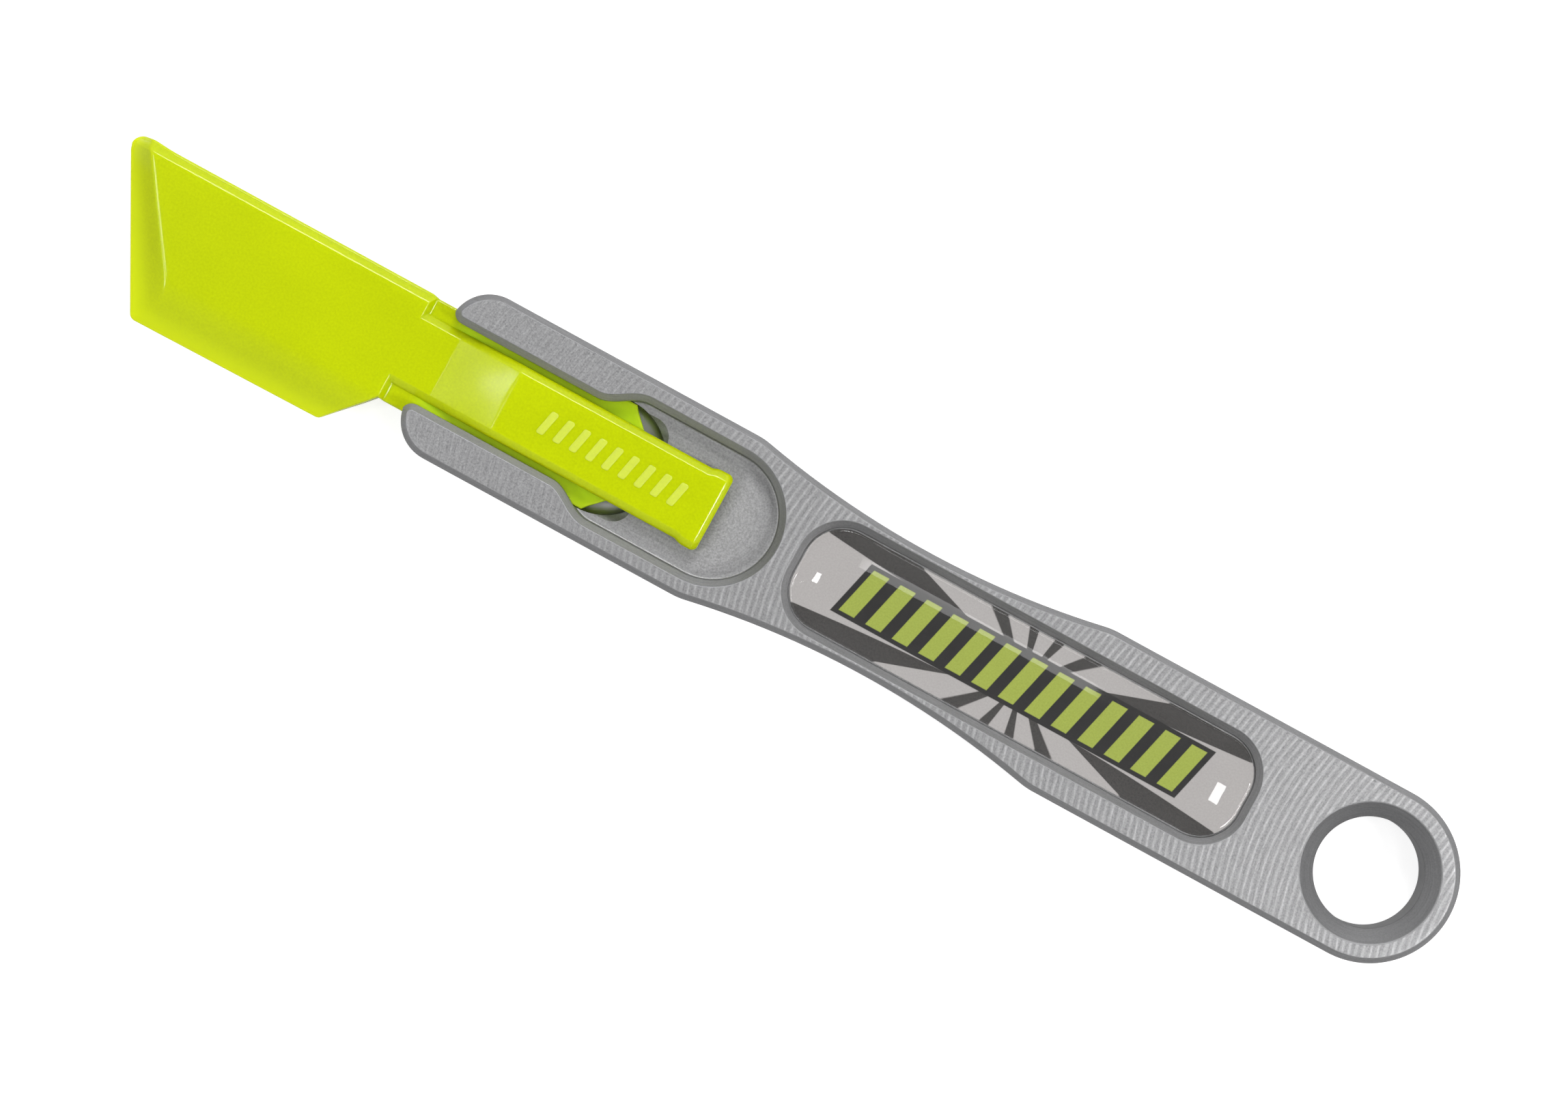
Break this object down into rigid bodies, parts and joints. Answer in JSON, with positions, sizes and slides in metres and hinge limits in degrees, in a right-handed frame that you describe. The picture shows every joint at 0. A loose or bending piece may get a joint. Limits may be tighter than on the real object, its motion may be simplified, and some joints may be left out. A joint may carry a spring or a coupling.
{
  "type": "film tucking tool",
  "caption": "Flat milled aluminium handle with a finger ring, a resin-domed label and a slide-in moulded plastic tucking blade held by a spring clip.",
  "frame": {"origin": "on the handle's flat back face, on its centre line, under the web between the clip recess and the label pocket, close to the middle of the whole tool's length", "axes": "+X along the handle from the blade towards the finger ring, +Z out of the labelled face, +Y towards the blade's straight back, so the blade is deepest towards -Y"},
  "size_m": [0.2034, 0.0264, 0.0103],
  "materials": {
    "milled_aluminium": "fly-cut faces with curved cutter marks, smooth machined chamfers",
    "lime_plastic": "satin moulded, slightly translucent at thin edges",
    "label_adhesive": "clear acrylic transfer tape",
    "label_print": "printed film, warm grey with charcoal wedges and lime bars",
    "label_resin": "clear glossy polyurethane resin dome"
  },
  "bodies": {
    "handle": {"handle_body": "milled_aluminium", "label_adhesive": "label_adhesive", "label_film": "label_print", "label_dome": "label_resin"},
    "insert": {"blade_insert": "lime_plastic"},
    "clip": {"spring_clip": "lime_plastic"}
  },
  "joints": [
    {"name": "insert_slide", "type": "slide", "parent": "handle", "child": "insert", "axis": [-1, 0, 0], "range_m": [0, 0.046]},
    {"name": "clip_flex", "type": "hinge", "parent": "insert", "child": "clip", "pos_m": [-0.0485, 0, 0.007], "axis": [0, -1, 0], "range_deg": [-2, 4], "stiffness_Nm_per_rad": 0.6}
  ]
}
